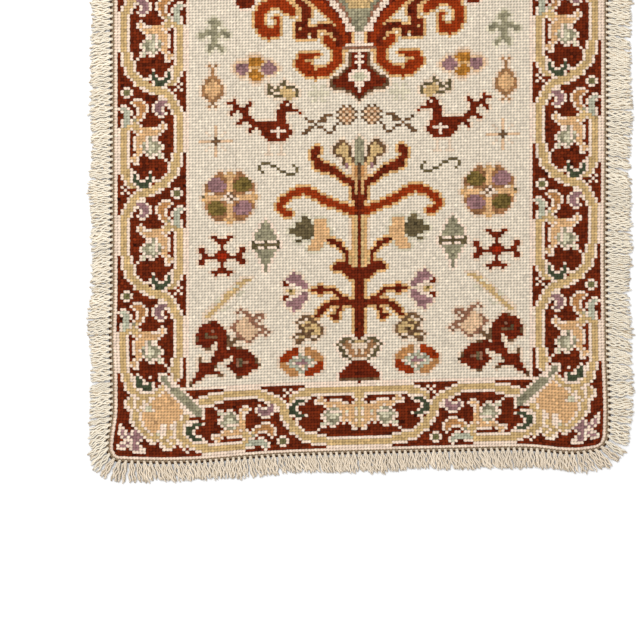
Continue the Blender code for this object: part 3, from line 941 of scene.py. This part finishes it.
# The fringe: knots of five plied cotton strands, two under the others, and a small loop across them.
# One knot is hooked over the edge at about every second stitch. Its strands lie wavy on the floor,
# and follow the lean and length of the picture's fringe.
KNOT_PITCH = 0.0092
STRAND_RADIUS = 0.00140
ROOT_SPACING = 0.00095
FREE_SPACING = 0.00300
FACING = np.radians((180.0, 225.0, 270.0, 315.0, 360.0, 450.0, 540.0))
FRINGE_LENGTH = (0.0370, 0.0360, 0.0340, 0.0360, 0.0420, 0.0360, 0.0370)
FRINGE_LEAN = np.radians((8.0, 7.0, 12.0, 12.0, -6.0, 4.0, 8.0))
LENGTH_WAVES = ((0.0016, 0.0290, 0.0), (0.0012, 0.0173, 1.0))
LEAN_WAVES = ((0.09, 0.0410, 0.0), (0.06, 0.0240, 2.0))
FAN_REACH = 0.045
FAN_SAMPLES = 19
STRAND_RINGS = 10
UNDER_RINGS = 7
LOOP_RINGS = 5
# The cotton's colour on each side of the rug, with painted light making the long sides' cotton paler
LIGHT = ((0.98, 0.83, 0.65), (1.0, 0.90, 0.73), (0.98, 0.83, 0.65), (1.0, 0.90, 0.73))
# Painted shade on a yarn's sides and underside: what share of the light they catch, on each side of the rug
FLANK_PAINTED_SHADE = (0.58, 0.72, 0.58, 0.72)
# Painted shade: the under strands' cotton is darker, as shade under the strands above them
UNDER_COTTON_AND_SHADE = (0.70, 0.57, 0.41)
LOOP_LIGHT = (0.92, 0.78, 0.60)
# Where a strand starts outside the edge, how thick a loop is, and one turn of its plies
ROOT_OUT = 0.0008
LOOP_RADIUS = 0.0008
PLY_TURN = 0.0075
cotton = yarn_material("cotton yarn", 0.9, "yarn", 2.0, False, 0.5, 0.6, 0.0006)


def fringe_angle(run):
    """Which way the fringe points: the edge's own angle, spread out like a fan near the corners."""
    offsets = np.linspace(-FAN_REACH, FAN_REACH, FAN_SAMPLES)
    return sum(edge_angle(run + offset) for offset in offsets) / FAN_SAMPLES


def tube_pattern(rings):
    """Faces of a six-sided tube, its corners round and along it, and its square of the bake map."""
    index = np.arange(rings * 6).reshape(rings, 6)
    after = np.roll(index, -1, axis=1)
    quads = np.stack([index[:-1], index[1:], after[1:], after[:-1]], -1).reshape(-1, 4)
    along, around = np.meshgrid(np.arange(rings - 1), np.arange(6), indexing="ij")
    yarn = np.stack(
        [
            np.stack([around, around, around + 1, around + 1], -1) / 6,
            np.stack([along, along + 1, along + 1, along], -1) / (rings - 1),
        ],
        -1,
    ).reshape(-1, 2)
    turns = np.arange(6) * math.pi / 3
    disc_map = 0.05 * np.stack([np.cos(turns), np.sin(turns)], -1)
    square = np.concatenate([0.05 + yarn * (0.90, 0.78), disc_map + (0.3, 0.92), disc_map + (0.7, 0.92)])
    return quads, index, np.concatenate([yarn, np.zeros((12, 2))]), square


def tube_points(middle, radius):
    """Six points round each point of a middle line, none of them below the floor."""
    along = np.gradient(middle, axis=0)
    along /= np.linalg.norm(along, axis=1)[:, None]
    beside = np.cross(along, (0, 0, 1.0))
    beside /= np.linalg.norm(beside, axis=1)[:, None]
    above = np.cross(beside, along)
    turns = (np.arange(6) + 0.5) * math.pi / 3
    ring = beside[:, None, :] * np.cos(turns)[None, :, None]
    ring = ring + above[:, None, :] * np.sin(turns)[None, :, None]
    ring = middle[:, None, :] + radius[:, None, None] * ring
    ring[:, :, 2] = np.maximum(ring[:, :, 2], 0.0001)
    return ring.reshape(-1, 3)


def fringe_mesh(name, side):
    """The knots of one side, each strand a tube that drops from the edge to the floor."""
    dice = np.random.default_rng(40 + side)
    start, end = CORNER_MIDDLES[side : side + 2]
    knots = round((end - start) / KNOT_PITCH)
    pitch = (end - start) / knots
    grid = math.ceil(math.sqrt(6 * knots))
    patterns = {rings: tube_pattern(rings) for rings in (STRAND_RINGS, UNDER_RINGS, LOOP_RINGS)}
    points, faces, yarn_map, bake_map, shades = [], [], [], [], []
    count = 0

    def add_tube(rings, middle, radius, light, plies_along):
        """One tube with its maps and colours."""
        nonlocal count
        quads, index, yarn, square = patterns[rings]
        faces.extend((quads + count).tolist())
        faces.append((index[0] + count).tolist())
        faces.append((index[-1][::-1] + count).tolist())
        count += rings * 6
        cell = len(points)
        points.append(tube_points(middle, radius))
        yarn_map.append(yarn * (1.0, plies_along))
        bake_map.append((square + (cell % grid, cell // grid)) / grid)
        # Painted shade: a tube's flanks and underside are darker than its top
        flank_shade = FLANK_PAINTED_SHADE[side]
        around = (flank_shade, 1.0, flank_shade, 0.6 * flank_shade, 0.5 * flank_shade, 0.6 * flank_shade)
        sides = np.tile(around, rings)[:, None] * light
        corners = np.concatenate([quads.ravel(), index[0], index[-1][::-1]])
        shades.append(sides[corners])

    across = np.linspace(-1, 1, LOOP_RINGS)
    for knot in range(knots):
        middle_run = start + (knot + 0.5) * pitch
        sway = dice.normal(0, 0.04)
        phase = dice.uniform(0, 6.28)
        for strand in (-1, 0, 1, -0.9, 0.9):
            under = abs(strand) == 0.9
            rings = UNDER_RINGS if under else STRAND_RINGS
            shares = np.linspace(0, 1, rings)
            run = middle_run + strand * ROOT_SPACING
            angle = fringe_angle(run)
            facing = (angle - math.pi) % (2 * math.pi) + math.pi
            length = np.interp(facing, FACING, FRINGE_LENGTH) - ROOT_OUT
            length += sum(size * math.sin(run / wave + begin) for size, wave, begin in LENGTH_WAVES)
            length *= 1 + dice.normal(0, 0.045)
            lean = np.interp(facing, FACING, FRINGE_LEAN) + sway
            lean += sum(size * math.sin(run / wave + begin) for size, wave, begin in LEAN_WAVES)
            x, y = edge_point(run, ROOT_OUT)
            reach = shares * length
            turn = angle + lean * (0.5 + 0.5 * shares)
            spread = strand * (FREE_SPACING - ROOT_SPACING) * ramp(reach, 0.0040, 0.0090)
            wave = 2 * math.pi * reach / dice.uniform(0.013, 0.019) + phase + dice.normal(0, 0.7)
            spread = spread + dice.uniform(0.0008, 0.0017) * np.sin(wave) * ramp(reach, 0.004, 0.012)
            spread = spread + dice.normal(0, 0.0010) * shares**2
            lift = dice.uniform(0, 0.0004) if under else dice.uniform(0.0012, 0.0026)
            px = x + reach * np.cos(turn) - spread * np.sin(turn)
            py = y + reach * np.sin(turn) + spread * np.cos(turn)
            drop = np.exp(-((reach / 0.0068) ** 2))
            pz = STRAND_RADIUS + lift * (1 - 0.5 * shares) * (1 - drop) + 0.0036 * drop
            pz = pz + 0.0003 * np.sin(wave * 0.7) * (1 - drop)
            radius = STRAND_RADIUS * (1 + 0.14 * np.sin(shares * 19 + dice.uniform(0, 6)))
            radius[: rings // 4] *= 0.8
            radius[rings // 4 :] *= 1.3 if under else 1.0
            radius[-1] *= 0.6
            light = np.array(UNDER_COTTON_AND_SHADE if under else LIGHT[side]) * (1 + dice.normal(0, 0.06))
            add_tube(rings, np.stack([px, py, pz], -1), radius, light, 2 * length / PLY_TURN)
        angle = fringe_angle(middle_run)
        x, y = edge_point(middle_run, 0.0024)
        middle = np.stack(
            [
                x - 0.0020 * across * math.sin(angle),
                y + 0.0020 * across * math.cos(angle),
                0.0056 - 0.0016 * across**2,
            ],
            -1,
        )
        light = np.array(LOOP_LIGHT) * (1 + dice.normal(0, 0.05))
        add_tube(LOOP_RINGS, middle, np.full(LOOP_RINGS, LOOP_RADIUS), light, 1.2)
    return add_piece(
        name,
        np.concatenate(points),
        faces,
        cotton,
        {"OFBake": np.concatenate(bake_map), "yarn": np.concatenate(yarn_map)},
        np.concatenate(shades),
    )


for side, side_name in enumerate(("near", "right", "far", "left")):
    made = fringe_mesh(f"fringe_strands_{side_name}", side)
    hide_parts(f"fringe_{side_name}")
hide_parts("needlework")

# The floor, the light and the camera: a plain near-white floor under a soft light from above, seen
# straight down with the rug's far half out of the picture.
bpy.ops.mesh.primitive_plane_add(size=12)
floor = bpy.context.object
floor.name = "floor"
paint = bpy.data.materials.new("pale floor")
paint.use_nodes = True
shader = paint.node_tree.nodes["Principled BSDF"]
shader.inputs["Base Color"].default_value = (0.95, 0.95, 0.955, 1)
shader.inputs["Roughness"].default_value = 0.9
floor.data.materials.append(paint)
bpy.ops.object.light_add(type="AREA", location=(-1.2, 0.9, 2.6))
lamp = bpy.context.object
lamp.data.size = 1.6
lamp.data.energy = 45
lamp.rotation_euler = (math.radians(-20), math.radians(-28), 0)
sky = bpy.data.worlds.new("room")
sky.use_nodes = True
backdrop = sky.node_tree.nodes["Background"]
backdrop.inputs["Color"].default_value = (1, 1, 1, 1)
backdrop.inputs["Strength"].default_value = 0.88
bpy.context.scene.world = sky
bpy.context.scene.view_settings.view_transform = "Standard"
bpy.ops.object.camera_add(location=(-0.0650, -0.6510, 2.853), rotation=(0, 0, 0))
camera = bpy.context.object
camera.data.lens = 100
camera.data.sensor_width = 36
bpy.context.scene.camera = camera
